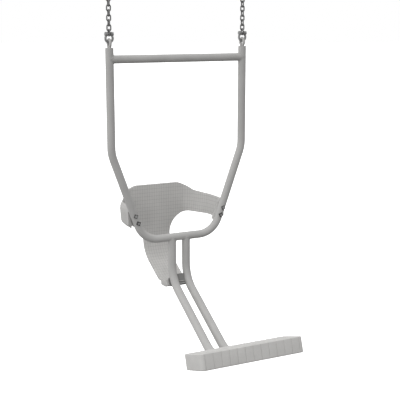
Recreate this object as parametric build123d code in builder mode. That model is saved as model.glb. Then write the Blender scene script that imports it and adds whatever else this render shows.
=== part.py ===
from build123d import *
import math
import os

# Face-to-face playground swing: a bent tube frame hung on two short-link chains, with a one-piece
# rubber bucket seat for a child and a flat seat for an adult on two tubes that reach forward.
# Millimetres. +X is the child's side-to-side axis and the axis of the round beam the swing hangs
# from, +Y points towards the child seat's back, +Z is up. The origin lies on the beam's axis,
# midway between the two hangers.

os.makedirs("parts", exist_ok=True)

SIDES = (("left", -1), ("right", 1))
RUNNING_GAP = 0.05                       # radial clearance of a pin in its hole
PART_GAP = 0.3                           # clearance between pieces that only touch in use

# ---- heights, all from the beam axis down ----
beam_radius = 44.45                      # 3 1/2 in beam pipe
frame_drop = 1196.0                      # beam axis to the centreline of the frame's bottom bar
bar_z = -frame_drop
pivot_drop = 90.0                        # beam axis to pendulum pivot
pivot_z = -pivot_drop

# ---- tube frame ----
tube_radius = 16.7                       # 1.315 in outside diameter pipe
tube_wall = 3.4
upright_x = 298.0
upright_top_z = bar_z + 797.0
crossbar_z = bar_z + 752.0
upright_bend_z = bar_z + 373.0
corner_x = 163.3
upright_bend_radius = 150.0
corner_radius = 96.0
slant_angle = math.atan2(upright_x - corner_x, upright_bend_z - bar_z)

# ---- eyes, shackles and chain ----
eye_rod = 5.5                            # radii of the round bars
eye_radius = 14.0
eye_leg = 7.7
bow_rod = 4.5
bow_radius = 15.0
bow_z = bar_z + 819.0                    # centreline of the shackle bow's lowest point
eye_crown_z = bow_z + bow_rod + PART_GAP + eye_rod
shackle_pin_z = bar_z + 851.0
shackle_pin_radius = 4.0
shackle_ear_x = 10.0
shackle_ear_thick = 6.5
shackle_ear_radius = 8.5
link_rod = 2.75
link_pitch = 19.3
link_inner_half = 5.0
link_step = link_pitch - PART_GAP
link_count = 10
first_link_z = shackle_pin_z - shackle_pin_radius - PART_GAP
clevis_pin_radius = 4.0
last_link_top_z = first_link_z + (link_count - 1) * link_step + link_pitch
clevis_pin_z = last_link_top_z - clevis_pin_radius - PART_GAP

# ---- hangers ----
clamp_wall = 9.0
clamp_width = 56.0
flange_reach = 80.0
flange_thick = 9.0
flange_gap = 2.0
clamp_bolt_y = 66.0
clamp_bolt_x = 16.0
clamp_bolt_radius = 5.0
pivot_bolt_radius = 6.0
hub_radius = 15.0
hub_half = 12.0
bush_radius = 9.0
ear_gap = 0.6
ear_thick = 8.0

# ---- adult seat and its tubes ----
seat_tube_x = 32.5
seat_tube_radius = 17.45                 # 1 3/8 in outside diameter
seat_tube_wall = 3.0
drop_bend_z = bar_z - 186.0
drop_bend_radius = 117.0
reach_angle = math.radians(29.0)         # forward leg below the horizontal
board_tilt = math.radians(18.6)          # board rises away from the child
tuck_radius = 100.0
board_centre = (0.0, -593.0, bar_z - 319.0)
board_length = 436.0
board_depth = 140.0
board_thick = 57.0
board_front_corner = 15.0                # rounded on the side away from the child
board_back_corner = 4.0
board_edge = 3.0
board_plate = (330.0, 84.0, 4.0)
tube_in_board = 96.0
board_cells = 12                         # hollows between the cover's inner ribs
board_cell_pitch = 33.6
board_cell = (29.6, 116.0, 39.0)

# ---- child seat ----
rubber = 11.0
strap_flat_half = 112.0                  # half-width of the flat part of the back
seat_top_z = bar_z + 188.0
arm_bottom_z = bar_z + 54.0
arm_bolt_heights = (79.0, 110.0)         # above the bottom bar
arm_bolt_radius = 4.0
arm_block_depth = 18.0
pad_angle = math.radians(35.0)           # where round the drop bend the crotch bracket sits
pad_half = 60.0
bracket_half = 49.0
bracket_thick = 6.0
bracket_height = 38.0
crotch_bolt_x = 32.5
crotch_bolt_radius = 4.0
crotch_nut_radius = 7.5
web_wall = 4.0
crotch_clamp_depth = 20.0                # rubber between the bracket and the bolt heads
crotch_head_radius = 7.5
crotch_head_thick = 5.0


def turn_point(origin, along, up, s, t):
    """Point s along and t up from origin in the Y-Z plane."""
    return (origin[0], origin[1] + s * along[0] + t * up[0], origin[2] + s * along[1] + t * up[1])


# ================= hangers (fixed to the beam) =================
clamp_outer = beam_radius + clamp_wall

for side, sx in SIDES:
    hanger_x = sx * upright_x
    clamp_face = Plane((hanger_x - clamp_width / 2, 0, 0), x_dir=(0, 1, 0), z_dir=(1, 0, 0))

    with BuildPart() as clamp_cap:
        with BuildSketch(clamp_face):
            Circle(clamp_outer)
            with Locations((0, flange_gap / 2)):
                Rectangle(2 * flange_reach, flange_thick, align=(Align.CENTER, Align.MIN))
            Circle(beam_radius, mode=Mode.SUBTRACT)
            with Locations((0, flange_gap / 2)):
                Rectangle(4 * clamp_outer, 2 * clamp_outer, align=(Align.CENTER, Align.MAX),
                          mode=Mode.SUBTRACT)
        extrude(amount=clamp_width)
        fillet(clamp_cap.edges().filter_by(Axis.Z).group_by(Axis.Y)[0], 8)
        fillet(clamp_cap.edges().filter_by(Axis.Z).group_by(Axis.Y)[-1], 8)
        with BuildSketch(Plane.XY.offset(flange_gap / 2)):
            with Locations((hanger_x, 0)):
                with GridLocations(2 * clamp_bolt_x, 2 * clamp_bolt_y, 2, 2):
                    Circle(clamp_bolt_radius + 0.5)
        extrude(amount=2 * flange_thick, mode=Mode.SUBTRACT)
    clamp_cap.part.label = f"{side}_clamp_cap"
    export_step(clamp_cap.part, f"parts/{side}_clamp_cap.step")

    with BuildPart() as clamp_base:
        with BuildSketch(clamp_face):
            Circle(clamp_outer)
            with Locations((0, -flange_gap / 2)):
                Rectangle(2 * flange_reach, flange_thick, align=(Align.CENTER, Align.MAX))
            Circle(beam_radius, mode=Mode.SUBTRACT)
            with Locations((0, -flange_gap / 2)):
                Rectangle(4 * clamp_outer, 2 * clamp_outer, align=(Align.CENTER, Align.MIN),
                          mode=Mode.SUBTRACT)
        extrude(amount=clamp_width)
        fillet(clamp_base.edges().filter_by(Axis.Z).group_by(Axis.Y)[0], 8)
        fillet(clamp_base.edges().filter_by(Axis.Z).group_by(Axis.Y)[-1], 8)
        with BuildSketch(Plane.XY.offset(-flange_gap / 2)):
            with Locations((hanger_x, 0)):
                with GridLocations(2 * clamp_bolt_x, 2 * clamp_bolt_y, 2, 2):
                    Circle(clamp_bolt_radius + 0.5)
        extrude(amount=-2 * flange_thick, mode=Mode.SUBTRACT)
        for ear in (-1, 1):
            ear_inner = hanger_x + ear * (hub_half + ear_gap)
            with BuildSketch(Plane((ear_inner, 0, pivot_z), x_dir=(0, 1, 0), z_dir=(1, 0, 0))):
                with BuildLine():
                    Polyline((-16, 0), (-30, 54), (30, 54), (16, 0), (-16, 0))
                make_face()
                Circle(16)
                with Locations((0, pivot_drop)):
                    Circle(beam_radius, mode=Mode.SUBTRACT)
                Circle(pivot_bolt_radius + RUNNING_GAP, mode=Mode.SUBTRACT)
            extrude(amount=ear * ear_thick)
    clamp_base.part.label = f"{side}_clamp_base"
    export_step(clamp_base.part, f"parts/{side}_clamp_base.step")

bolt_seat_z = flange_gap / 2 + flange_thick
with BuildPart() as clamp_bolts:
    for _, sx in SIDES:
        with BuildSketch(Plane.XY.offset(bolt_seat_z)):
            with Locations((sx * upright_x, 0)):
                with GridLocations(2 * clamp_bolt_x, 2 * clamp_bolt_y, 2, 2):
                    RegularPolygon(9, 6)
        extrude(amount=6.4)
        with BuildSketch(Plane.XY.offset(bolt_seat_z)):
            with Locations((sx * upright_x, 0)):
                with GridLocations(2 * clamp_bolt_x, 2 * clamp_bolt_y, 2, 2):
                    Circle(clamp_bolt_radius)
        extrude(amount=-(2 * bolt_seat_z + 12))
clamp_bolts.part.label = "clamp_bolts"
export_step(clamp_bolts.part, "parts/clamp_bolts.step")

with BuildPart() as clamp_nuts:
    for _, sx in SIDES:
        with BuildSketch(Plane.XY.offset(-bolt_seat_z)):
            with Locations((sx * upright_x, 0)):
                with GridLocations(2 * clamp_bolt_x, 2 * clamp_bolt_y, 2, 2):
                    RegularPolygon(9, 6)
                    Circle(clamp_bolt_radius, mode=Mode.SUBTRACT)
        extrude(amount=-8)
clamp_nuts.part.label = "clamp_nuts"
export_step(clamp_nuts.part, "parts/clamp_nuts.step")

pivot_reach = hub_half + ear_gap + ear_thick
with BuildPart() as pivot_bolts:
    for _, sx in SIDES:
        outer_face = sx * upright_x - pivot_reach
        with BuildSketch(Plane((outer_face, 0, pivot_z), x_dir=(0, 1, 0), z_dir=(-1, 0, 0))):
            RegularPolygon(10.5, 6)
        extrude(amount=7.5)
        with BuildSketch(Plane((outer_face, 0, pivot_z), x_dir=(0, 1, 0), z_dir=(1, 0, 0))):
            Circle(pivot_bolt_radius)
        extrude(amount=2 * pivot_reach + 16)
pivot_bolts.part.label = "pivot_bolts"
export_step(pivot_bolts.part, "parts/pivot_bolts.step")

with BuildPart() as pivot_nuts:
    for _, sx in SIDES:
        nut_face = sx * upright_x + pivot_reach
        with BuildSketch(Plane((nut_face, 0, pivot_z), x_dir=(0, 1, 0), z_dir=(1, 0, 0))):
            RegularPolygon(10.5, 6)
            Circle(pivot_bolt_radius, mode=Mode.SUBTRACT)
        extrude(amount=12)
pivot_nuts.part.label = "pivot_nuts"
export_step(pivot_nuts.part, "parts/pivot_nuts.step")

# ================= pendulums =================
fork_half_y = 14.0
fork_half_x = 11.0
fork_slot_half = link_rod + 1.0
fork_bottom_z = clevis_pin_z - 7.5
fork_slot_top_z = clevis_pin_z + link_inner_half + 2 * link_rod + 3.0

for side, sx in SIDES:
    hanger_x = sx * upright_x
    hub_face = Plane((hanger_x - hub_half, 0, pivot_z), x_dir=(0, 1, 0), z_dir=(1, 0, 0))

    with BuildPart() as pendulum:
        with BuildSketch(hub_face):
            Circle(hub_radius)
        extrude(amount=2 * hub_half)
        with BuildSketch(Plane((hanger_x, 0, pivot_z), x_dir=(0, 1, 0), z_dir=(1, 0, 0))):
            with Locations((0, -4)):
                Rectangle(2 * fork_half_y - 6, pivot_z - fork_slot_top_z - 4, align=(Align.CENTER, Align.MAX))
        extrude(amount=fork_half_x - 3, both=True)
        with BuildSketch(Plane((hanger_x, 0, fork_bottom_z), x_dir=(1, 0, 0), z_dir=(0, 0, 1))):
            RectangleRounded(2 * fork_half_x, 2 * fork_half_y, 4)
            Rectangle(2 * fork_half_x, 2 * fork_slot_half, mode=Mode.SUBTRACT)
        extrude(amount=fork_slot_top_z - fork_bottom_z)
        with BuildSketch(Plane((hanger_x, 0, fork_slot_top_z), x_dir=(1, 0, 0), z_dir=(0, 0, 1))):
            RectangleRounded(2 * fork_half_x, 2 * fork_half_y, 4)
        extrude(amount=8)
        with BuildSketch(hub_face):
            Circle(bush_radius + 0.01)
        extrude(amount=2 * hub_half, mode=Mode.SUBTRACT)
        with BuildSketch(Plane((hanger_x, 0, clevis_pin_z), x_dir=(1, 0, 0), z_dir=(0, 1, 0))):
            Circle(clevis_pin_radius + RUNNING_GAP)
        extrude(amount=2 * fork_half_y, both=True, mode=Mode.SUBTRACT)
    pendulum.part.label = f"{side}_pendulum"
    export_step(pendulum.part, f"parts/{side}_pendulum.step")

    with BuildPart() as pivot_bush:
        with BuildSketch(hub_face):
            Circle(bush_radius)
            Circle(pivot_bolt_radius + RUNNING_GAP, mode=Mode.SUBTRACT)
        extrude(amount=2 * hub_half)
    pivot_bush.part.label = f"{side}_pivot_bush"
    export_step(pivot_bush.part, f"parts/{side}_pivot_bush.step")

    with BuildPart() as clevis_pin:
        with BuildSketch(Plane((hanger_x, -fork_half_y, clevis_pin_z), x_dir=(1, 0, 0), z_dir=(0, 1, 0))):
            Circle(clevis_pin_radius)
        extrude(amount=2 * fork_half_y + 11)
        with BuildSketch(Plane((hanger_x, -fork_half_y, clevis_pin_z), x_dir=(1, 0, 0), z_dir=(0, -1, 0))):
            Circle(7)
        extrude(amount=4)
    clevis_pin.part.label = f"{side}_clevis_pin"
    export_step(clevis_pin.part, f"parts/{side}_clevis_pin.step")

    with BuildPart() as clevis_nut:
        with BuildSketch(Plane((hanger_x, fork_half_y, clevis_pin_z), x_dir=(1, 0, 0), z_dir=(0, 1, 0))):
            RegularPolygon(7.5, 6)
            Circle(clevis_pin_radius, mode=Mode.SUBTRACT)
        extrude(amount=7.5)
    clevis_nut.part.label = f"{side}_clevis_nut"
    export_step(clevis_nut.part, f"parts/{side}_clevis_nut.step")

# ================= chains =================
link_centre_half = link_inner_half + link_rod
link_straight = link_pitch - 2 * link_inner_half

for side, sx in SIDES:
    for count in range(link_count):
        along = (0, 1, 0) if count % 2 == 0 else (1, 0, 0)
        across = (-1, 0, 0) if count % 2 == 0 else (0, 1, 0)
        low_z = first_link_z + count * link_step + link_inner_half
        with BuildPart() as link:
            link_plane = Plane((sx * upright_x, 0, low_z + link_straight / 2), x_dir=along, z_dir=across)
            with BuildLine(link_plane) as loop:
                FilletPolyline(
                    (-link_centre_half, -link_straight / 2 - link_centre_half),
                    (link_centre_half, -link_straight / 2 - link_centre_half),
                    (link_centre_half, link_straight / 2 + link_centre_half),
                    (-link_centre_half, link_straight / 2 + link_centre_half),
                    radius=link_centre_half - 0.01, close=True)
            section_origin = link_plane.from_local_coords((link_centre_half, 0, 0))
            with BuildSketch(Plane(section_origin, x_dir=along, z_dir=(0, 0, 1))):
                Circle(link_rod)
            sweep(path=loop.wire())
        link.part.label = f"{side}_link_{count + 1:02d}"
        export_step(link.part, f"parts/{side}_link_{count + 1:02d}.step")

# ================= shackles =================
for side, sx in SIDES:
    centre_x = sx * upright_x

    with BuildPart() as shackle_bow:
        bow_plane = Plane((centre_x, 0, bow_z), x_dir=(1, 0, 0), z_dir=(0, -1, 0))
        pin_height = shackle_pin_z - bow_z
        with BuildLine(bow_plane) as bow_path:
            FilletPolyline(
                (-shackle_ear_x, pin_height - 2), (-bow_radius, pin_height - 13), (-bow_radius, 0),
                (bow_radius, 0), (bow_radius, pin_height - 13), (shackle_ear_x, pin_height - 2),
                radius=[7, bow_radius - 0.1, bow_radius - 0.1, 7])
        bow_start = bow_path.wire() @ 0
        with BuildSketch(Plane(bow_start, x_dir=(0, 1, 0), z_dir=bow_path.wire() % 0)):
            Circle(bow_rod)
        sweep(path=bow_path.wire())
        for ear in (-1, 1):
            ear_x = centre_x + ear * (shackle_ear_x - shackle_ear_thick / 2)
            with BuildSketch(Plane((ear_x, 0, shackle_pin_z), x_dir=(0, 1, 0), z_dir=(ear, 0, 0))):
                Circle(shackle_ear_radius)
            extrude(amount=shackle_ear_thick)
        with BuildSketch(Plane((centre_x, 0, shackle_pin_z), x_dir=(0, 1, 0), z_dir=(1, 0, 0))):
            Circle(shackle_pin_radius + RUNNING_GAP)
        extrude(amount=2 * bow_radius, both=True, mode=Mode.SUBTRACT)
        for ear in (-1, 1):
            seat_x = centre_x + ear * (shackle_ear_x + shackle_ear_thick / 2)
            with BuildSketch(Plane((seat_x, 0, shackle_pin_z), x_dir=(0, 1, 0), z_dir=(ear, 0, 0))):
                Circle(shackle_ear_radius + 0.2)
            extrude(amount=12, mode=Mode.SUBTRACT)
    shackle_bow.part.label = f"{side}_shackle_bow"
    export_step(shackle_bow.part, f"parts/{side}_shackle_bow.step")

    ear_face = shackle_ear_x + shackle_ear_thick / 2
    with BuildPart() as shackle_pin:
        head_plane = Plane((centre_x - ear_face, 0, shackle_pin_z), x_dir=(0, 1, 0), z_dir=(-1, 0, 0))
        with BuildSketch(head_plane):
            Circle(8.5)
        extrude(amount=3.8)
        fillet(shackle_pin.faces().sort_by(Axis.X)[0].edges(), 1.5)
        with BuildSketch(head_plane):
            Circle(shackle_pin_radius)
        extrude(amount=-(2 * ear_face + 5))
    shackle_pin.part.label = f"{side}_shackle_pin"
    export_step(shackle_pin.part, f"parts/{side}_shackle_pin.step")

    with BuildPart() as shackle_nut:
        with BuildSketch(Plane((centre_x + ear_face, 0, shackle_pin_z), x_dir=(0, 1, 0), z_dir=(1, 0, 0))):
            RegularPolygon(8.5, 6)
            Circle(shackle_pin_radius, mode=Mode.SUBTRACT)
        extrude(amount=4.2)
    shackle_nut.part.label = f"{side}_shackle_nut"
    export_step(shackle_nut.part, f"parts/{side}_shackle_nut.step")

# ================= tube frame =================
frame_plane = Plane((0, 0, bar_z), x_dir=(1, 0, 0), z_dir=(0, -1, 0))
corner_centre_x = corner_x - corner_radius * math.tan((math.pi / 2 - slant_angle) / 2)


def frame_x(height):
    """X of the right-hand frame tube's centreline at a height above the bottom bar."""
    corner_top = corner_radius * (1 - math.sin(slant_angle))
    if height < corner_top:
        return corner_centre_x + math.sqrt(corner_radius ** 2 - (corner_radius - height) ** 2)
    return corner_x + height * math.tan(slant_angle)


arm_bolt_points = [(sx * frame_x(h), h) for _, sx in SIDES for h in arm_bolt_heights]

with BuildPart() as side_frame:
    upright_height = upright_top_z - bar_z
    bend_height = upright_bend_z - bar_z
    with BuildLine(frame_plane) as frame_path:
        FilletPolyline(
            (-upright_x, upright_height), (-upright_x, bend_height), (-corner_x, 0),
            (corner_x, 0), (upright_x, bend_height), (upright_x, upright_height),
            radius=[upright_bend_radius, corner_radius, corner_radius, upright_bend_radius])
    with BuildSketch(Plane((-upright_x, 0, upright_top_z), x_dir=(1, 0, 0), z_dir=(0, 0, -1))):
        Circle(tube_radius)
        Circle(tube_radius - tube_wall, mode=Mode.SUBTRACT)
    sweep(path=frame_path.wire())
    with BuildSketch(frame_plane):
        with Locations(*arm_bolt_points):
            Circle(arm_bolt_radius + RUNNING_GAP)
    extrude(amount=2 * tube_radius, both=True, mode=Mode.SUBTRACT)
side_frame.part.label = "side_frame"
export_step(side_frame.part, "parts/side_frame.step")

with BuildPart() as crossbar:
    with BuildSketch(Plane((-upright_x, 0, crossbar_z), x_dir=(0, 1, 0), z_dir=(1, 0, 0))):
        Circle(tube_radius - 0.2)
        Circle(tube_radius - tube_wall, mode=Mode.SUBTRACT)
    extrude(amount=2 * upright_x)
    for _, sx in SIDES:
        with BuildSketch(Plane((sx * upright_x, 0, crossbar_z - 40), x_dir=(1, 0, 0), z_dir=(0, 0, 1))):
            Circle(tube_radius + 0.02)
        extrude(amount=80, mode=Mode.SUBTRACT)
crossbar.part.label = "crossbar"
export_step(crossbar.part, "parts/crossbar.step")

for side, sx in SIDES:
    with BuildPart() as top_eye:
        eye_plane = Plane((sx * upright_x, 0, upright_top_z), x_dir=(0, 1, 0), z_dir=(1, 0, 0))
        crown = eye_crown_z - upright_top_z
        with BuildLine(eye_plane) as eye_path:
            FilletPolyline(
                (-eye_leg, -36), (-eye_leg, 3), (-eye_radius, 12), (-eye_radius, crown),
                (eye_radius, crown), (eye_radius, 12), (eye_leg, 3), (eye_leg, -36),
                radius=[12, 12, eye_radius - 0.05, eye_radius - 0.05, 12, 12])
        with BuildSketch(Plane(eye_path.wire() @ 0, x_dir=(1, 0, 0), z_dir=(0, 0, 1))):
            Circle(eye_rod)
        sweep(path=eye_path.wire())
    top_eye.part.label = f"{side}_top_eye"
    export_step(top_eye.part, f"parts/{side}_top_eye.step")

# ================= adult seat =================
board_dir = (-math.cos(board_tilt), math.sin(board_tilt))          # (Y, Z) away from the child
board_up = (math.sin(board_tilt), math.cos(board_tilt))
tuck_y = ((board_centre[2] - drop_bend_z + board_centre[1] * math.tan(board_tilt))
          / (math.tan(reach_angle) + math.tan(board_tilt)))
tuck_z = drop_bend_z + tuck_y * math.tan(reach_angle)
board_back = turn_point(board_centre, board_dir, board_up, -board_depth / 2, 0)
tube_end = turn_point(board_back, board_dir, board_up, tube_in_board, 0)

for side, sx in SIDES:
    with BuildPart() as seat_tube:
        tube_plane = Plane((sx * seat_tube_x, 0, 0), x_dir=(0, 1, 0), z_dir=(1, 0, 0))
        with BuildLine(tube_plane) as seat_path:
            FilletPolyline(
                (0, bar_z), (0, drop_bend_z), (tuck_y, tuck_z), (tube_end[1], tube_end[2]),
                radius=[drop_bend_radius, tuck_radius])
        with BuildSketch(Plane((sx * seat_tube_x, 0, bar_z), x_dir=(1, 0, 0), z_dir=(0, 0, -1))):
            Circle(seat_tube_radius)
            Circle(seat_tube_radius - seat_tube_wall, mode=Mode.SUBTRACT)
        sweep(path=seat_path.wire())
        with BuildSketch(Plane((-2 * corner_x, 0, bar_z), x_dir=(0, 1, 0), z_dir=(1, 0, 0))):
            Circle(tube_radius + 0.02)
            Rectangle(3 * tube_radius, 3 * tube_radius, align=(Align.CENTER, Align.MIN))
        extrude(amount=4 * corner_x, mode=Mode.SUBTRACT)
    seat_tube.part.label = f"{side}_seat_tube"
    export_step(seat_tube.part, f"parts/{side}_seat_tube.step")

board_plane = Plane(board_centre, x_dir=(1, 0, 0), z_dir=(0, board_up[0], board_up[1]))
plate_level = -seat_tube_radius - PART_GAP                          # top of the plate, under the tubes
board_bolt_points = [(sx * seat_tube_x, y) for _, sx in SIDES for y in (-20.0, 20.0)]

with BuildPart() as adult_seat_cover:
    with BuildSketch(board_plane.offset(-board_thick / 2)):
        outline = Rectangle(board_length, board_depth)
        back_corners = outline.vertices().group_by(Axis.Y)[-1]
        front_corners = outline.vertices().group_by(Axis.Y)[0]
        fillet(back_corners, board_back_corner)
        fillet(front_corners, board_front_corner)
    extrude(amount=board_thick)
    fillet(adult_seat_cover.faces().sort_by(SortBy.AREA)[-2:].edges(), board_edge)
    with BuildSketch(board_plane.offset(-board_cell[2] / 2)):
        with GridLocations(board_cell_pitch, 1, board_cells, 1):
            Rectangle(board_cell[0], board_cell[1])
    extrude(amount=board_cell[2], mode=Mode.SUBTRACT)
    with BuildSketch(board_plane.offset(plate_level + 0.2)):
        Rectangle(board_plate[0] + 0.6, board_plate[1] + 0.6)
    extrude(amount=-(board_plate[2] + 0.4), mode=Mode.SUBTRACT)
    for _, sx in SIDES:
        bore_start = turn_point((sx * seat_tube_x, board_back[1], board_back[2]), board_dir, board_up, -5, 0)
        with BuildSketch(Plane(bore_start, x_dir=(1, 0, 0), z_dir=(0, board_dir[0], board_dir[1]))):
            Circle(seat_tube_radius + 0.2)
        extrude(amount=tube_in_board + 5.5, mode=Mode.SUBTRACT)
    with BuildSketch(board_plane.offset(-board_thick / 2)):
        with Locations(*board_bolt_points):
            Circle(7.5)
    extrude(amount=board_thick / 2 - seat_tube_radius, mode=Mode.SUBTRACT)
adult_seat_cover.part.label = "adult_seat_cover"
export_step(adult_seat_cover.part, "parts/adult_seat_cover.step")

with BuildPart() as adult_seat_plate:
    with BuildSketch(board_plane.offset(plate_level)):
        RectangleRounded(board_plate[0], board_plate[1], 12)
        with Locations(*board_bolt_points):
            Circle(4.2, mode=Mode.SUBTRACT)
    extrude(amount=-board_plate[2])
adult_seat_plate.part.label = "adult_seat_plate"
export_step(adult_seat_plate.part, "parts/adult_seat_plate.step")

with BuildPart() as adult_seat_bolts:
    with BuildSketch(board_plane.offset(plate_level - board_plate[2])):
        with Locations(*board_bolt_points):
            Circle(7)
    extrude(amount=-4)
    with BuildSketch(board_plane.offset(plate_level - board_plate[2])):
        with Locations(*board_bolt_points):
            Circle(4)
    extrude(amount=board_plate[2] + PART_GAP)
adult_seat_bolts.part.label = "adult_seat_bolts"
export_step(adult_seat_bolts.part, "parts/adult_seat_bolts.step")

# ================= crotch bracket =================
drop_centre = (-drop_bend_radius, drop_bend_z + drop_bend_radius * math.tan((math.pi / 2 - reach_angle) / 2))
pad_out = (math.cos(pad_angle), -math.sin(pad_angle))               # (Y, Z) away from the tubes
back_reach = drop_bend_radius + seat_tube_radius
bracket_face = (0.0, drop_centre[0] + (back_reach + 0.2) * pad_out[0],
                drop_centre[1] + (back_reach + 0.2) * pad_out[1])
bracket_plane = Plane(bracket_face, x_dir=(1, 0, 0), z_dir=(0, pad_out[0], pad_out[1]))
side_view = Plane((0, 0, bar_z), x_dir=(0, 1, 0), z_dir=(1, 0, 0))
# Profiles in side view, heights counted from the bottom bar.
web_half = seat_tube_x - seat_tube_radius - PART_GAP
web_outline = [(-16, -160), (-30, -204), (-15, -211), (7, -180)]
pad_outline = [(11, -183), (40, -195), (62, -198), (61, -223), (18, -222), (-8, -212)]

with BuildPart() as crotch_bracket:
    with BuildSketch(bracket_plane):
        RectangleRounded(2 * bracket_half, bracket_height, 6)
    extrude(amount=bracket_thick)
    with BuildSketch(side_view):
        with BuildLine():
            Polyline(*web_outline, close=True)
        make_face()
    extrude(amount=web_half, both=True)
    with BuildSketch(side_view):
        with BuildLine():
            Polyline(*web_outline, close=True)
            offset(amount=-web_wall, mode=Mode.REPLACE)
        make_face()
    extrude(amount=web_half, both=True, mode=Mode.SUBTRACT)
    with BuildSketch(bracket_plane):
        with Locations((-crotch_bolt_x, 0), (crotch_bolt_x, 0)):
            Circle(crotch_nut_radius + RUNNING_GAP)
    extrude(amount=bracket_thick, mode=Mode.SUBTRACT)
crotch_bracket.part.label = "crotch_bracket"
export_step(crotch_bracket.part, "parts/crotch_bracket.step")

with BuildPart() as crotch_nuts:
    with BuildSketch(bracket_plane):
        with Locations((-crotch_bolt_x, 0), (crotch_bolt_x, 0)):
            Circle(crotch_nut_radius)
            Circle(crotch_bolt_radius, mode=Mode.SUBTRACT)
    extrude(amount=bracket_thick)
crotch_nuts.part.label = "crotch_nuts"
export_step(crotch_nuts.part, "parts/crotch_nuts.step")

crotch_head_seat = bracket_plane.offset(bracket_thick + crotch_clamp_depth)
with BuildPart() as crotch_bolts:
    with BuildSketch(crotch_head_seat):
        with Locations((-crotch_bolt_x, 0), (crotch_bolt_x, 0)):
            Circle(crotch_head_radius)
    extrude(amount=crotch_head_thick)
    with BuildSketch(crotch_head_seat):
        with Locations((-crotch_bolt_x, 0), (crotch_bolt_x, 0)):
            Circle(crotch_bolt_radius)
    extrude(amount=-(bracket_thick + crotch_clamp_depth))
crotch_bolts.part.label = "crotch_bolts"
export_step(crotch_bolts.part, "parts/crotch_bolts.step")

# ================= child seat =================
band_floor = Plane.XY.offset(arm_bottom_z - 20)
block_face_y = tube_radius + PART_GAP
block_back_y = block_face_y + arm_block_depth
block_height = (58.0, 127.0)
block_inner = 13.0
block_outer_x = 221.0

# Inner faces: the band in plan from the middle of the back to the left arm's end, and the strap
# in side view from the back down to the crotch pad. Heights count from the bottom bar.
arm_plan = [(0, 237), (-148, 237), (-203, 135), (-211, 62), (-211, 19)]
arm_plan_radii = [50, 80, 60]
strap_side = [(237, 75), (242, -119), (88, -199), (14, -195)]
strap_side_radii = [110, 60]
# Outline seen from the front: the top edge falls from the back to the arms, and the leg holes
# sweep in to the strap.
top_edge = [(0, 188), (100, 188), (176, 148), (240, 138)]
top_edge_radii = [70, 60]
leg_edge = [(240, 54), (64.5, 53), (64, -90), (59, -155), (58, -240)]
leg_edge_radii = [94, 150, 150]

with BuildPart() as child_seat:
    # Strap and the flat of the back, then the upright band that makes the back and the arms.
    with BuildSketch(side_view):
        with BuildLine():
            FilletPolyline(*strap_side, radius=strap_side_radii)
            offset(amount=rubber, side=Side.LEFT)
        make_face()
    extrude(amount=strap_flat_half, both=True)
    with BuildSketch(band_floor):
        with BuildLine():
            FilletPolyline(*arm_plan, radius=arm_plan_radii)
            offset(amount=rubber, side=Side.RIGHT)
        make_face()
        mirror(about=Plane.YZ)
    extrude(amount=seat_top_z - arm_bottom_z + 20)
    with BuildSketch(frame_plane):
        with BuildLine():
            fall = FilletPolyline(*top_edge, radius=top_edge_radii)
            sweep_in = FilletPolyline(*leg_edge, radius=leg_edge_radii)
            Line(fall @ 1, sweep_in @ 0)
            Polyline(sweep_in @ 1, (0, -240), (0, 188))
        make_face()
        mirror(about=Plane.YZ)
    extrude(amount=-300, mode=Mode.INTERSECT)
    # Blocks at the arm ends, behind the slanted frame tubes.
    low, high = block_height
    with BuildSketch(frame_plane.offset(-block_face_y)):
        with BuildLine():
            Polyline((frame_x(low) - block_inner, low), (block_outer_x, low), (block_outer_x, high),
                     (frame_x(high) - block_inner, high), (frame_x(low) - block_inner, low))
        make_face()
        mirror(about=Plane.YZ)
    extrude(amount=-arm_block_depth)
    # Crotch pad on the bracket's back.
    with BuildSketch(side_view):
        with BuildLine():
            Polyline(*pad_outline, close=True)
        make_face()
    extrude(amount=pad_half, both=True)
    with BuildSketch(bracket_plane):
        with Locations((-crotch_bolt_x, 0), (crotch_bolt_x, 0)):
            Circle(crotch_bolt_radius + 0.2)
    extrude(amount=80, mode=Mode.SUBTRACT)
    with BuildSketch(crotch_head_seat.offset(-PART_GAP)):
        with Locations((-crotch_bolt_x, 0), (crotch_bolt_x, 0)):
            Circle(crotch_head_radius + 1)
    extrude(amount=60, mode=Mode.SUBTRACT)
    with BuildSketch(bracket_plane):
        Rectangle(2 * pad_half, 3 * bracket_height)
    extrude(amount=bracket_thick + PART_GAP, mode=Mode.SUBTRACT)
    with BuildSketch(frame_plane):
        with Locations(*arm_bolt_points):
            Circle(arm_bolt_radius + 0.2)
    extrude(amount=-(block_back_y + 1), mode=Mode.SUBTRACT)
child_seat.part.label = "child_seat"
export_step(child_seat.part, "parts/child_seat.step")

plate_thick = 3.0
plate_width = 15.0
for side, sx in SIDES:
    with BuildPart() as arm_plate:
        bolt_points = [point for point in arm_bolt_points if point[0] * sx > 0]
        (low_x, low_h), (high_x, high_h) = bolt_points
        lean = math.degrees(math.atan2(high_h - low_h, high_x - low_x))
        with BuildSketch(frame_plane.offset(-(block_back_y + 0.1))):
            with Locations(((low_x + high_x) / 2, (low_h + high_h) / 2)):
                SlotCenterToCenter(math.dist(*bolt_points), plate_width, rotation=lean)
            with Locations(*bolt_points):
                Circle(arm_bolt_radius + 0.2, mode=Mode.SUBTRACT)
        extrude(amount=-plate_thick)
    arm_plate.part.label = f"{side}_arm_plate"
    export_step(arm_plate.part, f"parts/{side}_arm_plate.step")

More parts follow.
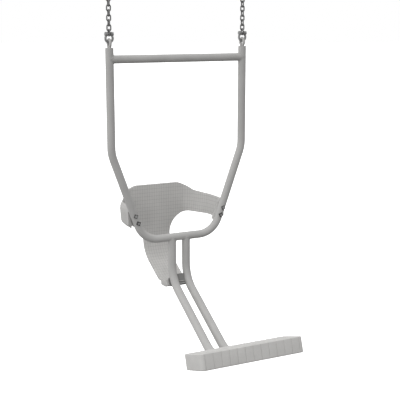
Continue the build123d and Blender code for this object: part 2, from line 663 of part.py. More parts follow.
arm_nut_y = block_back_y + 0.1 + plate_thick
with BuildPart() as arm_bolts:
    with BuildSketch(frame_plane.offset(tube_radius)):
        with Locations(*arm_bolt_points):
            Circle(6.5)
    extrude(amount=4.5)
    with BuildSketch(frame_plane.offset(tube_radius)):
        with Locations(*arm_bolt_points):
            Circle(arm_bolt_radius)
    extrude(amount=-(tube_radius + arm_nut_y + 9))
arm_bolts.part.label = "arm_bolts"
export_step(arm_bolts.part, "parts/arm_bolts.step")

with BuildPart() as arm_nuts:
    with BuildSketch(frame_plane.offset(-arm_nut_y)):
        with Locations(*arm_bolt_points):
            RegularPolygon(7.5, 6)
            Circle(arm_bolt_radius, mode=Mode.SUBTRACT)
    extrude(amount=-7)
arm_nuts.part.label = "arm_nuts"
export_step(arm_nuts.part, "parts/arm_nuts.step")
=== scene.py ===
import math

import bmesh
import bpy
import numpy as np
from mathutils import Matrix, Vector


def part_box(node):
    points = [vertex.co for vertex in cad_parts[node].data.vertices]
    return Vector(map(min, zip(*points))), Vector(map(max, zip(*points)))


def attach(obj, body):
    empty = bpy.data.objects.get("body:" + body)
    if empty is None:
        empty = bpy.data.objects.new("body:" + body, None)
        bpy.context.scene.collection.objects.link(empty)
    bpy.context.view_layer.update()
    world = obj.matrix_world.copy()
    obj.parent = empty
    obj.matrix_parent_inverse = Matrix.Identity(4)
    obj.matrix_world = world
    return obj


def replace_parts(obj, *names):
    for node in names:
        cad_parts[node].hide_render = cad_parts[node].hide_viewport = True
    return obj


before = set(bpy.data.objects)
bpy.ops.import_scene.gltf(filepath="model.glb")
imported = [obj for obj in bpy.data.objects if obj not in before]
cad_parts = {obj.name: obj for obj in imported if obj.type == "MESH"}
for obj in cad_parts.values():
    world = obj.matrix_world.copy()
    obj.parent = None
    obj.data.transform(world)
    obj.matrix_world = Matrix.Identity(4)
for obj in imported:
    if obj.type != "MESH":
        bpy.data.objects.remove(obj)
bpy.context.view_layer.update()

# Lengths in this script are millimetres, counted from the centre of the frame's bottom bar, until
# place() turns them into metres in the row frame.
TUBE_RADIUS = 16.7
BAR_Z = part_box("side_frame")[0][2] * 1000 + TUBE_RADIUS
FRAME_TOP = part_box("side_frame")[1][2] * 1000 - BAR_Z
UPRIGHT_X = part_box("side_frame")[1][0] * 1000 - TUBE_RADIUS
UPRIGHT_BEND = 373.0              # height where the slanted tubes turn upright
CORNER_X, CORNER_RADIUS = 163.3, 96.0
SEAT_TUBE_X = 32.5
SIDES = (("left", -1), ("right", 1))


def place(x, y, z):
    """A point in millimetres above the bottom bar, as metres in the row frame."""
    return Vector((x, y, z + BAR_Z)) / 1000


# ---------------------------------------------------------------- paths
class Path:
    """A polyline with rounded corners, in a plane, read by distance along it."""

    def __init__(self, corners, radii, step=0.5):
        points = [np.array(corners[0], float)]
        for before, corner, after, radius in zip(corners, corners[1:], corners[2:], radii):
            before, corner, after = (np.array(p, float) for p in (before, corner, after))
            way_in = (corner - before) / np.linalg.norm(corner - before)
            way_out = (after - corner) / np.linalg.norm(after - corner)
            turn = math.acos(max(-1.0, min(1.0, float(way_in @ way_out))))
            cut = radius * math.tan(turn / 2)
            start, end = corner - way_in * cut, corner + way_out * cut
            side = way_out - way_in
            centre = corner + side / np.linalg.norm(side) * radius / math.cos(turn / 2)
            count = max(2, int(radius * turn / step))
            for k in range(count + 1):
                share = k / count
                from_start, from_end = math.sin((1 - share) * turn), math.sin(share * turn)
                arm = (start - centre) * from_start + (end - centre) * from_end
                points.append(centre + arm / math.sin(turn))
        points.append(np.array(corners[-1], float))
        self.points = np.array(points)
        gaps = np.linalg.norm(np.diff(self.points, axis=0), axis=1)
        self.marks = np.concatenate([[0], np.cumsum(gaps)])
        self.length = float(self.marks[-1])

    def at(self, distance):
        """Both coordinates at a distance along the path."""
        return (float(np.interp(distance, self.marks, self.points[:, 0])),
                float(np.interp(distance, self.marks, self.points[:, 1])))


# ---------------------------------------------------------------- meshes
def add_piece(name, verts, faces, mat, smooth=True, uv=None):
    """A mesh piece on the swing's frame, from points in millimetres above the bottom bar."""
    mesh = bpy.data.meshes.new(name)
    mesh.from_pydata([place(*v) for v in verts], [], faces)
    if uv is not None:
        layer = mesh.uv_layers.new(name="surface")
        for loop in mesh.loops:
            layer.data[loop.index].uv = uv[loop.vertex_index]
    mesh.update()
    fixer = bmesh.new()
    fixer.from_mesh(mesh)
    bmesh.ops.recalc_face_normals(fixer, faces=fixer.faces)
    fixer.to_mesh(mesh)
    fixer.free()
    obj = bpy.data.objects.new(name, mesh)
    bpy.context.scene.collection.objects.link(obj)
    mesh.materials.append(mat)
    for polygon in mesh.polygons:
        polygon.use_smooth = smooth
    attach(obj, "swing_frame")
    return obj


def round_edges(obj, width, segments, angle):
    """Bevel the edges that are sharper than an angle in degrees."""
    bevel = obj.modifiers.new("round", "BEVEL")
    bevel.width = width / 1000
    bevel.segments = segments
    bevel.limit_method = "ANGLE"
    bevel.angle_limit = math.radians(angle)


def square_to(direction):
    """A unit vector at right angles to a direction."""
    helper = Vector((0, 0, 1)) if abs(direction.z) < 0.8 else Vector((1, 0, 0))
    return direction.cross(helper).normalized()


def tube_along(points, radius, sides, closed=False, wobble=0.0):
    """Vertices and faces of a round bead along a list of points in millimetres."""
    path = [Vector(p) for p in points]
    count = len(path)
    verts, faces = [], []
    for i, centre in enumerate(path):
        ahead = path[(i + 1) % count] if closed or i < count - 1 else centre
        behind = path[i - 1] if closed or i > 0 else centre
        tangent = (ahead - behind).normalized()
        across = square_to(tangent)
        up = across.cross(tangent)
        size = radius * (1 + wobble * math.sin(i * 2.4) * math.sin(i * 0.9 + 1))
        for k in range(sides):
            angle = 2 * math.pi * k / sides
            verts.append(centre + size * (math.cos(angle) * across + math.sin(angle) * up))
    rings = count if closed else count - 1
    for i in range(rings):
        for k in range(sides):
            a, b = i * sides + k, i * sides + (k + 1) % sides
            c, d = ((i + 1) % count) * sides + (k + 1) % sides, ((i + 1) % count) * sides + k
            faces.append((a, b, c, d))
    if not closed:
        faces.append(tuple(range(sides)))
        faces.append(tuple((count - 1) * sides + k for k in range(sides)))
    return verts, faces


def lathe(profile, centre, axis, sides, start):
    """Vertices and faces of a profile of (radius, height) points turned about an axis."""
    axis = Vector(axis).normalized()
    across = square_to(axis)
    up = axis.cross(across)
    verts, faces = [], []
    for radius, height in profile:
        for k in range(sides):
            angle = start + 2 * math.pi * k / sides
            spoke = math.cos(angle) * across + math.sin(angle) * up
            verts.append(Vector(centre) + axis * height + radius * spoke)
    for i in range(len(profile)):
        following = (i + 1) % len(profile)
        for k in range(sides):
            faces.append((i * sides + k, i * sides + (k + 1) % sides,
                          following * sides + (k + 1) % sides, following * sides + k))
    return verts, faces


# ---------------------------------------------------------------- materials
def new_material(name, roughness, metallic=0.0, specular=0.5):
    mat = bpy.data.materials.new(name)
    mat.use_nodes = True
    shader = mat.node_tree.nodes["Principled BSDF"]
    shader.inputs["Roughness"].default_value = roughness
    shader.inputs["Metallic"].default_value = metallic
    shader.inputs["Specular IOR Level"].default_value = specular
    return mat, mat.node_tree, shader


def noise(tree, scale, detail, stretch=(1, 1, 1), rough=0.5):
    coords = tree.nodes.new("ShaderNodeTexCoord")
    mapping = tree.nodes.new("ShaderNodeMapping")
    mapping.inputs["Scale"].default_value = stretch
    texture = tree.nodes.new("ShaderNodeTexNoise")
    texture.inputs["Scale"].default_value = scale
    texture.inputs["Detail"].default_value = detail
    texture.inputs["Roughness"].default_value = rough
    tree.links.new(coords.outputs["Object"], mapping.inputs["Vector"])
    tree.links.new(mapping.outputs["Vector"], texture.inputs["Vector"])
    return texture.outputs["Fac"]


def ramp(tree, source, stops):
    """Colour ramp over (position, tone) stops, where a tone is a number or a colour."""
    node = tree.nodes.new("ShaderNodeValToRGB")
    tree.links.new(source, node.inputs["Fac"])
    elements = node.color_ramp.elements
    while len(elements) < len(stops):
        elements.new(0.5)
    for element, (position, tone) in zip(elements, stops):
        element.position = position
        element.color = tone if isinstance(tone, tuple) else (tone, tone, tone, 1)
    return node.outputs["Color"]


def multiply(tree, factor, a, b):
    """Colour a darkened by colour b; each is a socket."""
    node = tree.nodes.new("ShaderNodeMix")
    node.data_type = "RGBA"
    node.blend_type = "MULTIPLY"
    node.inputs["Factor"].default_value = factor
    tree.links.new(a, node.inputs[6])
    tree.links.new(b, node.inputs[7])
    return node.outputs[2]


def bump(tree, shader, layers):
    """Chained bumps; each layer is (height socket, strength, distance in metres)."""
    normal = None
    for height, strength, distance in layers:
        node = tree.nodes.new("ShaderNodeBump")
        node.inputs["Strength"].default_value = strength
        node.inputs["Distance"].default_value = distance
        tree.links.new(height, node.inputs["Height"])
        if normal is not None:
            tree.links.new(normal, node.inputs["Normal"])
        normal = node.outputs["Normal"]
    tree.links.new(normal, shader.inputs["Normal"])


def grey(value, warm=0.0):
    """A grey, a little redder where warm is above nought."""
    return (value * (1 + warm), value, value * (1 - 2 * warm), 1)


def powder_coat(name, base):
    """Satin powder coat: soft cloudiness, orange peel, sparse scuffs."""
    mat, tree, shader = new_material(name, 0.48)
    cloud_tones = [(0.3, grey(base * 0.94, 0.01)), (0.7, grey(base * 1.05, 0.01))]
    clouds = ramp(tree, noise(tree, 9, 4), cloud_tones)
    grain = ramp(tree, noise(tree, 1400, 2), [(0.35, 0.93), (0.65, 1.0)])
    scuffs = ramp(tree, noise(tree, 60, 6, (1, 1, 0.25), 0.7), [(0.70, 1.0), (0.78, 0.84)])
    colour = multiply(tree, 1.0, clouds, grain)
    colour = multiply(tree, 0.6, colour, scuffs)
    tree.links.new(colour, shader.inputs["Base Color"])
    tree.links.new(ramp(tree, noise(tree, 35, 4), [(0.3, 0.42), (0.7, 0.56)]), shader.inputs["Roughness"])
    bump(tree, shader, [(noise(tree, 420, 2), 0.12, 0.0004), (noise(tree, 1500, 1), 0.05, 0.0002)])
    return mat


def galvanised(name, base, spangle=260, roughness=0.5):
    """Hot-dip zinc: spangle facets, dull patches and a fine pitted skin."""
    mat, tree, shader = new_material(name, roughness, 0.55)
    coords = tree.nodes.new("ShaderNodeTexCoord")
    cells = tree.nodes.new("ShaderNodeTexVoronoi")
    cells.inputs["Scale"].default_value = spangle
    tree.links.new(coords.outputs["Object"], cells.inputs["Vector"])
    facets = ramp(tree, cells.outputs["Color"], [(0.1, grey(base * 0.78)), (0.9, grey(base * 1.18))])
    dull = ramp(tree, noise(tree, 45, 5), [(0.4, 1.0), (0.7, 0.72)])
    colour = multiply(tree, 0.8, facets, dull)
    tree.links.new(colour, shader.inputs["Base Color"])
    tree.links.new(ramp(tree, cells.outputs["Color"], [(0.1, roughness - 0.12), (0.9, roughness + 0.12)]),
                   shader.inputs["Roughness"])
    bump(tree, shader, [(noise(tree, 700, 4), 0.25, 0.0004), (cells.outputs["Distance"], 0.1, 0.0003)])
    return mat


def cast_metal(name, base, metallic):
    """Rough casting: uneven tone and pits."""
    mat, tree, shader = new_material(name, 0.62, metallic)
    tone = ramp(tree, noise(tree, 25, 6), [(0.3, grey(base * 0.8)), (0.7, grey(base * 1.15))])
    pits = ramp(tree, noise(tree, 500, 5, rough=0.8), [(0.35, 0.75), (0.55, 1.0)])
    tree.links.new(multiply(tree, 0.8, tone, pits), shader.inputs["Base Color"])
    bump(tree, shader, [(noise(tree, 180, 6, rough=0.7), 0.6, 0.0008)])
    return mat


def line_mask(tree, value, pitch, width):
    """1 on lines every pitch metres of value, 0 between them."""
    scaled = tree.nodes.new("ShaderNodeMath")
    scaled.operation = "MULTIPLY"
    scaled.inputs[1].default_value = 1 / pitch
    tree.links.new(value, scaled.inputs[0])
    wave = tree.nodes.new("ShaderNodeMath")
    wave.operation = "PINGPONG"
    wave.inputs[1].default_value = 0.5
    tree.links.new(scaled.outputs[0], wave.inputs[0])
    edge = tree.nodes.new("ShaderNodeMapRange")
    edge.inputs["From Min"].default_value = 0.0
    edge.inputs["From Max"].default_value = width / pitch
    edge.inputs["To Min"].default_value = 1.0
    edge.inputs["To Max"].default_value = 0.0
    tree.links.new(wave.outputs[0], edge.inputs["Value"])
    return edge.outputs["Result"]


# Width in metres of the moulded lines, and how much painted shade darkens their grooves below the rubber.
LINE_WIDTH, LINE_SHADE = 0.0012, 0.24


def rubber_skin(name, base, across=None, along=None):
    """Moulded rubber; across and along are the spacings of a net of fine lines, in metres."""
    mat, tree, shader = new_material(name, 0.62, 0.0, 0.35)
    cloud_tones = [(0.3, grey(base * 0.95, 0.012)), (0.7, grey(base * 1.04, 0.012))]
    clouds = ramp(tree, noise(tree, 14, 4), cloud_tones)
    dust = ramp(tree, noise(tree, 900, 3), [(0.3, 0.92), (0.6, 1.0)])
    scuffs = ramp(tree, noise(tree, 40, 8, rough=0.75), [(0.62, 1.0), (0.74, 0.9)])
    colour = multiply(tree, 1.0, clouds, dust)
    colour = multiply(tree, 0.7, colour, scuffs)
    layers = [(noise(tree, 650, 3), 0.18, 0.0004), (noise(tree, 120, 3), 0.08, 0.0006)]
    if across or along:
        uv = tree.nodes.new("ShaderNodeUVMap")
        uv.uv_map = "surface"
        split = tree.nodes.new("ShaderNodeSeparateXYZ")
        tree.links.new(uv.outputs["UV"], split.inputs[0])
        for socket, pitch in ((split.outputs["X"], across), (split.outputs["Y"], along)):
            if pitch:
                lines = line_mask(tree, socket, pitch, LINE_WIDTH)
                # Painted shade along the moulded grooves of the net of lines.
                shade = ramp(tree, lines, [(0.0, 1.0), (1.0, 1.0 - LINE_SHADE)])
                colour = multiply(tree, 1.0, colour, shade)
                dent = ramp(tree, lines, [(0.0, 1.0), (1.0, 0.0)])
                layers.append((dent, 0.5, 0.0006))
    tree.links.new(colour, shader.inputs["Base Color"])
    tree.links.new(ramp(tree, noise(tree, 30, 4), [(0.3, 0.55), (0.7, 0.7)]), shader.inputs["Roughness"])
    bump(tree, shader, layers)
    return mat


PAINT = powder_coat("tube_paint", 0.54)
ZINC = galvanised("chain_zinc", 0.27)
SHACKLE_ZINC = galvanised("shackle_zinc", 0.42, 180, 0.55)
FASTENER = galvanised("fastener_zinc", 0.48, 420, 0.42)
IRON = cast_metal("hanger_iron", 0.30, 0.3)
BRONZE = cast_metal("bush_bronze", 0.30, 0.8)
INSERT = powder_coat("insert_paint", 0.40)
# Dark paint on the crotch bracket is painted shade, for the shadow between the seat tubes.
BRACKET_PAINTED_SHADE = powder_coat("bracket_painted_shade", 0.24)
SKIN = rubber_skin("seat_rubber", 0.68, 0.0115, 0.0165)
# A darker copy of the seat rubber: painted shade on the seat's outer face, rim, arm end blocks and crotch
# pad.
RUBBER_PAINTED_SHADE = rubber_skin("rubber_painted_shade", 0.56)
BOARD = rubber_skin("board_rubber", 0.66)
RING_DARK = rubber_skin("washer_black", 0.045)
RING_GREY = rubber_skin("washer_grey", 0.13)

NODE_MATERIALS = (
    ("link", ZINC), ("shackle", SHACKLE_ZINC), ("clevis", SHACKLE_ZINC), ("clamp_cap", IRON),
    ("clamp_base", IRON), ("_pendulum", IRON), ("bush", BRONZE), ("bolts", FASTENER), ("nuts", FASTENER),
    # The crotch bracket takes the dark paint that stands for its shadow.
    ("seat_plate", INSERT), ("arm_plate", INSERT), ("crotch_bracket", BRACKET_PAINTED_SHADE),
    ("child_seat", SKIN), ("seat_cover", BOARD))


def paint_cad_nodes():
    """Give every CAD node the material that its name calls for, or the tubes' paint."""
    for name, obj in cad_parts.items():
        chosen = next((mat for word, mat in NODE_MATERIALS if word in name), PAINT)
        for material_slot in obj.material_slots:
            material_slot.material = chosen


# ---------------------------------------------------------------- child seat
BACK_Y = 237.0
ARM_BOTTOM = 54.0
JOIN = 112.0                      # where the arms leave the back panel, along the plan path
JOIN_RUN = 60.0                   # length over which the back panel turns into an arm
SEAT_WALL = 11.0                  # of the back panel and the strap
ARM_LEAN, LEAN_TOP, LEAN_RUN = 4.0, 118.0, 60.0
STRAP_END_TOP, STRAP_END_HALF = -150, 58.5
PLAN = Path([(0, BACK_Y), (148, BACK_Y), (203, 135), (211, 62), (211, 19)], [50, 80, 60])
SIDE = Path([(236, 200), (237, 75), (242, -119), (88, -199), (4, -195)], [300, 110, 60])
TOP_EDGE = Path([(0, 188), (108, 188), (176, 153), (250, 146), (420, 143.5)], [70, 60, 200])
HOLE_EDGE = Path([(440, ARM_BOTTOM), (64.5, ARM_BOTTOM - 1), (64, -90), (59, -155), (58, -430)],
                 [94, 150, 150])
# Thickness of an arm by height: a rounded foot, an upright face, a crease and a shoulder.
ARM_WALL = ((54, 6.0), (60, 10.0), (66, 12.3), (118, 12.8),
            (122, 11.0), (125.5, 12.4), (135, 9.0), (146, 4.5))


def clamp(value):
    return min(1.0, max(0.0, value))


def arm_share(a):
    """0 on the back panel, 1 on an arm, and a blend where they join."""
    return clamp((abs(a) - JOIN) / JOIN_RUN)


def top_height(a):
    return float(np.interp(a, TOP_EDGE.points[:, 0], TOP_EDGE.points[:, 1]))


def hole_height(a):
    edge = HOLE_EDGE.points[::-1]
    return float(np.interp(a, edge[:, 0], edge[:, 1]))


def strap_half(height):
    edge = HOLE_EDGE.points[::-1]
    return float(np.interp(height, edge[:, 1], edge[:, 0]))


def seat_point(a, drop):
    """Inner face of the seat: a runs round the plan path, drop runs down the side path."""
    x, plan_y = PLAN.at(abs(a))
    side_y, height = SIDE.at(drop)
    x -= ARM_LEAN * arm_share(a) * clamp((LEAN_TOP - height) / LEAN_RUN)
    return Vector((math.copysign(x, a), plan_y - BACK_Y + side_y, height))


def drop_of(height):
    """Distance down the side path at a height, for the stretch above the crotch."""
    points = SIDE.points[::-1]
    return float(np.interp(height, points[:, 1], SIDE.marks[::-1]))


def outward(a, drop):
    """Unit normal of the inner face, pointing out of the bucket."""
    step = 1.0
    across = seat_point(a + step, drop) - seat_point(a - step, drop)
    down = seat_point(a, drop + step) - seat_point(a, drop - step)
    return across.cross(down).normalized()


def wall(a, height):
    """Wall thickness: even on the back and the strap, shaped by height on the arms."""
    heights, depths = zip(*ARM_WALL)
    return SEAT_WALL + arm_share(a) * (float(np.interp(height, heights, depths)) - SEAT_WALL)


def grid(point, columns, rows):
    """Quads of a grid whose corners are the vertex numbers point(column, row)."""
    return [(point(i, row), point(i + 1, row), point(i + 1, row + 1), point(i, row + 1))
            for i in range(columns) for row in range(rows)]


def child_seat_shell():
    """Back panel, two arms and the strap as one sheet, given its wall thickness. The inner face
    carries the net of lines, and the rim and outer face are plain, in a darker copy of the seat
    rubber that paints shade on them."""
    columns, arm_columns, upper_rows, lower_rows = 48, 66, 26, 66
    join_drop = drop_of(hole_height(JOIN))
    middle = [-JOIN + 2 * JOIN * i / columns for i in range(columns + 1)]
    samples, index = [], {}

    def sample(key, a, drop):
        if key not in index:
            index[key] = len(samples)
            samples.append((a, drop))
        return index[key]

    def upper(column_key, a, row):
        top, bottom = drop_of(top_height(abs(a))), drop_of(hole_height(max(abs(a), JOIN)))
        return sample((column_key, row), a, top + (bottom - top) * row / upper_rows)

    def back(i, row):
        return upper(("back", i), middle[i], row)

    def arm(sign):
        def point(i, row):
            if i == 0:
                return back(0 if sign < 0 else columns, row)
            a = sign * (JOIN + (PLAN.length - JOIN) * i / arm_columns)
            return upper(("arm", sign, i), a, row)
        return point

    def strap(i, row):
        if row == 0:
            return back(i, upper_rows)
        drop = join_drop + (SIDE.length - join_drop) * row / lower_rows
        height = SIDE.at(drop)[1]
        half = strap_half(height) if height > STRAP_END_TOP else STRAP_END_HALF
        return sample(("strap", i, row), middle[i] / JOIN * half, drop)

    quads = grid(back, columns, upper_rows)
    for _, sign in SIDES:
        quads += grid(arm(sign), arm_columns, upper_rows)
    quads += grid(strap, columns, lower_rows)

    inner = [seat_point(a, drop) for a, drop in samples]
    outer = [point + outward(a, drop) * wall(a, point.z) for point, (a, drop) in zip(inner, samples)]
    count = len(samples)
    faces = quads + [tuple(count + k for k in reversed(quad)) for quad in quads]
    edge_uses = {}
    for quad in quads:
        for edge in zip(quad, quad[1:] + quad[:1]):
            edge_uses.setdefault(frozenset(edge), []).append(edge)
    rim = [edges[0] for edges in edge_uses.values() if len(edges) == 1]
    faces += [(b, a, count + a, count + b) for a, b in rim]
    uv = [(a / 1000, drop / 1000) for a, drop in samples] * 2
    shell = add_piece("child_seat_shell", inner + outer, faces, SKIN, uv=uv)
    # The rim and outer face take the darker rubber, as painted shade.
    shell.data.materials.append(RUBBER_PAINTED_SHADE)
    for polygon in shell.data.polygons:
        if polygon.index >= len(quads):
            polygon.material_index = 1
    round_edges(shell, 3.6, 4, 50)
    return shell


def frame_x(height):
    """X of the right-hand frame tube's centreline at a height on its corner or slanted part."""
    slant = math.atan2(UPRIGHT_X - CORNER_X, UPRIGHT_BEND)
    if height < CORNER_RADIUS * (1 - math.sin(slant)):
        centre = CORNER_X - CORNER_RADIUS * math.tan((math.pi / 2 - slant) / 2)
        return centre + math.sqrt(CORNER_RADIUS ** 2 - (CORNER_RADIUS - height) ** 2)
    return CORNER_X + height * math.tan(slant)


def solid_between(outline_front, outline_back):
    """Vertices and faces of a solid between two outlines with as many points."""
    count = len(outline_front)
    faces = [tuple(range(count)), tuple(reversed(range(count, 2 * count)))]
    faces += [(k, (k + 1) % count, count + (k + 1) % count, count + k) for k in range(count)]
    return list(outline_front) + list(outline_back), faces


def arm_end_blocks(side, sign):
    """Thick end of an arm behind the slanted tube: a strip moulded along the tube, a slit, the
    arm's closed end outside it, and the shoulder above both."""
    low, seam, top = ARM_BOTTOM + 0.5, 124.0, 143.0
    end_foot_in, end_foot_out = 62, 67
    front_y, back_y = TUBE_RADIUS + 0.4, TUBE_RADIUS + 18.0
    strip_inboard, strip_outboard, end_inboard = 12, 12.8, 16.0        # from the tube's centreline
    end_inner_limit, end_outer, shoulder_foot, shoulder_lean = 222.6, 223.8, 223.6, 0.45
    below, above = seam - 0.6, seam + 0.5
    along_strip, along_shoulder = np.linspace(low, below, 12), np.linspace(above, top, 6)
    strip = ([(frame_x(h) - strip_inboard, h) for h in along_strip],
             [(frame_x(h) + strip_outboard, h) for h in along_strip])
    closed_end = ([(min(frame_x(h) + end_inboard, end_inner_limit), h)
                   for h in np.linspace(end_foot_in, below, 12)],
                  [(end_outer, h) for h in np.linspace(end_foot_out, below, 12)])
    shoulder = ([(frame_x(h) - strip_inboard, h) for h in along_shoulder],
                [(shoulder_foot - (h - seam) * shoulder_lean, h) for h in along_shoulder])
    blocks = []
    for name, (inner, outer) in (("strip", strip), ("end", closed_end), ("shoulder", shoulder)):
        ring = inner + outer[::-1]
        front = [(sign * x, front_y, h) for x, h in ring]
        back = [(sign * x, back_y, h) for x, h in ring]
        verts, faces = solid_between(front, back)
        # The end blocks take the darker rubber, as painted shade.
        block = add_piece(f"child_seat_{side}_{name}", verts, faces, RUBBER_PAINTED_SHADE)
        round_edges(block, 1.4, 4, 40)
        blocks.append(block)
    return blocks


def crotch_pad():
    """Thick end of the strap, behind the crotch bracket."""
    half = 60
    outline = [(9.5, -188), (16, -191), (40, -198), (61, -202), (63, -205), (61.5, -221), (58, -224),
               (18, -222), (-3, -213.5), (-8, -211)]
    left = [(-half, y, z) for y, z in outline]
    right = [(half, y, z) for y, z in outline]
    verts, faces = solid_between(left, right)
    # The crotch pad takes the darker rubber, as painted shade.
    pad = add_piece("child_seat_crotch_pad", verts, faces, RUBBER_PAINTED_SHADE)
    round_edges(pad, 6.0, 4, 60)
    return pad


def bracket_ridges():
    """Two rounded bars across the crotch bracket's web, between the seat tubes."""
    half, radius = 14, 2.8
    for name, y, z in (("upper", -27.0, -190.0), ("lower", -30.5, -199.5)):
        verts, faces = tube_along([(x, y, z) for x in np.linspace(-half, half, 9)], radius, 16)
        add_piece(f"crotch_bracket_{name}_ridge", verts, faces, INSERT)


def arm_bolt_rings():
    """Square bosses round the arm bolts' heads, turned with the tube: black below, grey above."""
    profile = [(4.8, 0.2), (11.2, 0.2), (11.2, 3.4), (10.2, 5.0), (6.0, 5.2), (4.8, 4.5)]
    for side, sign in SIDES:
        for level, height, mat in (("low", 79.0, RING_DARK), ("high", 110.0, RING_GREY)):
            centre = (sign * frame_x(height), -TUBE_RADIUS + 0.6, height)
            lean = sign * math.atan2(frame_x(height + 5) - frame_x(height - 5), 10)
            verts, faces = lathe(profile, centre, (0, -1, 0), 4, math.pi / 4 + lean)
            ring = add_piece(f"{side}_{level}_bolt_boss", verts, faces, mat, smooth=False)
            round_edges(ring, 1.0, 3, 30)


# ---------------------------------------------------------------- adult seat
BOARD_LENGTH, BOARD_DEPTH, BOARD_THICK = 432.0, 140.0, 61.0
FRONT_CORNER, BACK_CORNER = 15.0, 4.0
BOARD_CENTRE = Vector((-1.5, -592.4, -317.2))
BOARD_TILT = math.radians(18.6)
BOARD_OUT = Vector((0, -math.cos(BOARD_TILT), math.sin(BOARD_TILT)))
BOARD_UP = Vector((0, math.sin(BOARD_TILT), math.cos(BOARD_TILT)))
LOWER_EDGE, UPPER_EDGE = 5.0, 3.0
GROOVE_PITCH, GROOVE_COUNT, GROOVE_DEPTH = 32.9, 13, 1.6


def on_board(x, out, up):
    """A point on the tilted seat: along it, out towards its front, and up from its middle."""
    return BOARD_CENTRE + Vector((x, 0, 0)) + BOARD_OUT * out + BOARD_UP * up


def board_outline(inset):
    """Rounded rectangle with fine upright grooves along both long sides."""
    half_x, half_out = BOARD_LENGTH / 2, BOARD_DEPTH / 2
    places = []
    for k in range(GROOVE_COUNT):
        middle = (k - (GROOVE_COUNT - 1) / 2) * GROOVE_PITCH
        places += [(middle + x, dent) for x, dent in
                   ((-3.0, 0.0), (-0.9, 0.0), (-0.5, GROOVE_DEPTH),
                    (0.5, GROOVE_DEPTH), (0.9, 0.0), (3.0, 0.0))]
    front = [(x, half_out - inset - dent) for x, dent in places]
    back = [(x, -(half_out - inset - dent)) for x, dent in places]
    quarter = [math.radians(9 * k) for k in range(11)]
    corners = {}
    for name, radius in (("front", FRONT_CORNER), ("back", BACK_CORNER)):
        reach = radius - inset
        corners[name] = [(half_x - radius + reach * math.sin(t), half_out - radius + reach * math.cos(t))
                         for t in quarter]
    ring = front + corners["front"]
    ring += [(x, -out) for x, out in reversed(corners["back"])]
    ring += back[::-1]
    ring += [(-x, -out) for x, out in corners["back"]]
    ring += [(-x, out) for x, out in reversed(corners["front"])]
    return ring


def adult_seat_shell():
    """The flat seat's cover, stacked from outlines that follow its rounded edges."""
    steps = 6
    quarter = [math.pi / 2 * k / steps for k in range(steps + 1)]
    levels = [(LOWER_EDGE - LOWER_EDGE * math.sin(t),
               -(BOARD_THICK / 2 - LOWER_EDGE + LOWER_EDGE * math.cos(t))) for t in quarter]
    levels += [(UPPER_EDGE - UPPER_EDGE * math.sin(t),
                BOARD_THICK / 2 - UPPER_EDGE + UPPER_EDGE * math.cos(t)) for t in reversed(quarter)]
    verts, faces = [], []
    for inset, up in levels:
        verts += [on_board(x, out, up) for x, out in board_outline(inset)]
    count = len(verts) // len(levels)
    for level in range(len(levels) - 1):
        for k in range(count):
            a, b = level * count + k, level * count + (k + 1) % count
            faces.append((a, b, b + count, a + count))
    faces.append(tuple(reversed(range(count))))
    faces.append(tuple((len(levels) - 1) * count + k for k in range(count)))
    shell = add_piece("adult_seat_shell", verts, faces, BOARD)
    for polygon in shell.data.polygons:
        polygon.use_smooth = len(polygon.vertices) == 4
    return shell


def adult_seat_ribs():
    """Low rounded ribs across the seat's top, to stop a rider sliding."""
    count, pitch, rows, sides = 8, 50.0, 24, 8
    half_length, half_width, height, sink = 54.0, 4.2, 2.6, 0.3
    round_end, end_share = 6, 0.02
    for number in range(count):
        x = (number - (count - 1) / 2) * pitch
        verts, faces = [], []
        for row in range(rows + 1):
            t = -1 + 2 * row / rows
            past = max(0.0, (abs(t) * half_length - half_length + round_end) / round_end)
            taper = math.sqrt(max(0.0, 1 - past ** 2)) + end_share
            for k in range(sides + 1):
                angle = math.pi * k / sides
                verts.append(on_board(x + half_width * taper * math.cos(angle), t * half_length,
                                      BOARD_THICK / 2 - sink + height * taper * math.sin(angle)))
        width = sides + 1
        for row in range(rows):
            for k in range(width):
                a, b = row * width + k, row * width + (k + 1) % width
                faces.append((a, b, b + width, a + width))
        faces.append(tuple(range(width)))
        faces.append(tuple(rows * width + k for k in range(width)))
        rib = add_piece(f"adult_seat_rib_{number + 1}", verts, faces, BOARD)


# ---------------------------------------------------------------- welds
def weld_beads():
    """Beads where the crossbar, the seat tubes and both legs of each eye meet the frame tube."""
    crossbar_height = (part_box("crossbar")[0][2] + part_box("crossbar")[1][2]) / 2 * 1000 - BAR_Z
    bar_reach, seat_reach, seat_radius = TUBE_RADIUS + 0.4, TUBE_RADIUS + 0.3, 17.6
    eye_leg, eye_bead_x, eye_bead_y, eye_sink = 7.7, 5.7, 5.6, 0.6
    turns = [2 * math.pi * k / 72 for k in range(72)]
    for side, sign in SIDES:
        ring = []
        for t in turns:
            y, up = bar_reach * math.sin(t), bar_reach * math.cos(t)
            inward = math.sqrt(max(0.0, bar_reach ** 2 - y ** 2))
            ring.append((sign * (UPRIGHT_X - inward), y, crossbar_height + up))
        verts, faces = tube_along(ring, 1.5, 10, closed=True, wobble=0.15)
        add_piece(f"{side}_crossbar_weld", verts, faces, PAINT)

        ring = []
        for t in turns:
            x, y = seat_radius * math.cos(t), seat_reach * math.sin(t)
            ring.append((sign * SEAT_TUBE_X + x, y, -math.sqrt(max(0.0, seat_reach ** 2 - y ** 2))))
        verts, faces = tube_along(ring, 1.6, 10, closed=True, wobble=0.15)
        add_piece(f"{side}_seat_tube_weld", verts, faces, PAINT)

        for where, leg in (("front", -1), ("back", 1)):
            ring = [(sign * UPRIGHT_X + eye_bead_x * math.cos(t), leg * eye_leg + eye_bead_y * math.sin(t),
                     FRAME_TOP - eye_sink) for t in turns[::2]]
            verts, faces = tube_along(ring, 1.5, 8, closed=True, wobble=0.2)
            add_piece(f"{side}_eye_{where}_weld", verts, faces, PAINT)


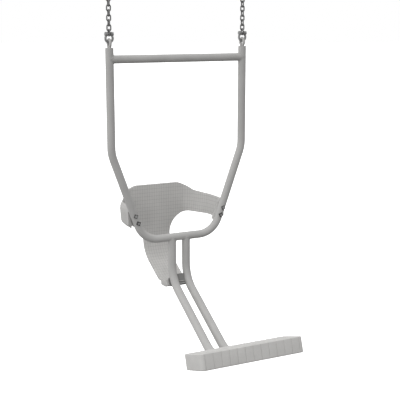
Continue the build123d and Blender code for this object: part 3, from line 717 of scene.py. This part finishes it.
# ---------------------------------------------------------------- stage
def floor():
    """A plain pale floor, in metres, well below the flat seat. It lights nothing."""
    drop = 749
    half, level = 60.0, (BAR_Z - drop) / 1000
    mesh = bpy.data.meshes.new("floor")
    corners = [(-half, -half, level), (half, -half, level), (half, half, level), (-half, half, level)]
    mesh.from_pydata(corners, [], [(0, 1, 2, 3)])
    obj = bpy.data.objects.new("floor", mesh)
    bpy.context.scene.collection.objects.link(obj)
    mat, _, shader = new_material("floor_pale", 0.9, 0.0, 0.1)
    shader.inputs["Base Color"].default_value = (0.9, 0.9, 0.9, 1)
    shader.inputs["Emission Color"].default_value = (1, 1, 1, 1)
    shader.inputs["Emission Strength"].default_value = 0.75
    mesh.materials.append(mat)
    obj.visible_diffuse = False
    obj.visible_glossy = False


def lights():
    """White backdrop, light that fades towards the ground, and a soft key on the left."""
    sky_level, sky_lean = 0.60, (-0.20, 0.10, 0.54)
    key_place, key_target = place(-2400, -900, 1300), place(0, 0, 200)
    world = bpy.data.worlds.new("studio")
    bpy.context.scene.world = world
    world.use_nodes = True
    tree = world.node_tree
    sky = tree.nodes["Background"]
    coords = tree.nodes.new("ShaderNodeTexCoord")
    lean = tree.nodes.new("ShaderNodeVectorMath")
    lean.operation = "DOT_PRODUCT"
    lean.inputs[1].default_value = sky_lean
    tree.links.new(coords.outputs["Generated"], lean.inputs[0])
    level = tree.nodes.new("ShaderNodeMath")
    level.operation = "ADD"
    level.inputs[1].default_value = sky_level
    tree.links.new(lean.outputs["Value"], level.inputs[0])
    tree.links.new(level.outputs[0], sky.inputs["Strength"])
    sky.inputs["Color"].default_value = (1, 1, 1, 1)
    backdrop = tree.nodes.new("ShaderNodeBackground")
    backdrop.inputs["Strength"].default_value = 1.0
    backdrop.inputs["Color"].default_value = (1, 1, 1, 1)
    rays = tree.nodes.new("ShaderNodeLightPath")
    blend = tree.nodes.new("ShaderNodeMixShader")
    tree.links.new(rays.outputs["Is Camera Ray"], blend.inputs["Fac"])
    tree.links.new(sky.outputs["Background"], blend.inputs[1])
    tree.links.new(backdrop.outputs["Background"], blend.inputs[2])
    tree.links.new(blend.outputs["Shader"], tree.nodes["World Output"].inputs["Surface"])
    key = bpy.data.lights.new("key", "AREA")
    key.shape = "DISK"
    key.size = 1.4
    key.energy = 5.0
    key_object = bpy.data.objects.new("key", key)
    key_object.location = key_place
    aim = key_target - key_place
    key_object.rotation_euler = aim.to_track_quat("-Z", "Y").to_euler()
    bpy.context.scene.collection.objects.link(key_object)


def camera():
    """The view: from in front, left of the swing and above the bucket, looking slightly down."""
    pitch, yaw = 0.204, 0.4544
    data = bpy.data.cameras.new("camera")
    data.sensor_width = 36
    data.lens = 78.7
    data.clip_end = 60
    obj = bpy.data.objects.new("camera", data)
    obj.location = place(-1510.9, -3297.6, 908.4)
    obj.rotation_euler = (math.pi / 2 - pitch, 0, -yaw)
    bpy.context.scene.collection.objects.link(obj)
    bpy.context.scene.camera = obj


paint_cad_nodes()
seat_pieces = [child_seat_shell(), crotch_pad()]
seat_pieces += [block for side, sign in SIDES for block in arm_end_blocks(side, sign)]
for piece in seat_pieces:
    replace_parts(piece, "child_seat")
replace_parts(adult_seat_shell(), "adult_seat_cover")
adult_seat_ribs()
arm_bolt_rings()
bracket_ridges()
weld_beads()
floor()
lights()
camera()
bpy.context.scene.view_settings.view_transform = "Standard"
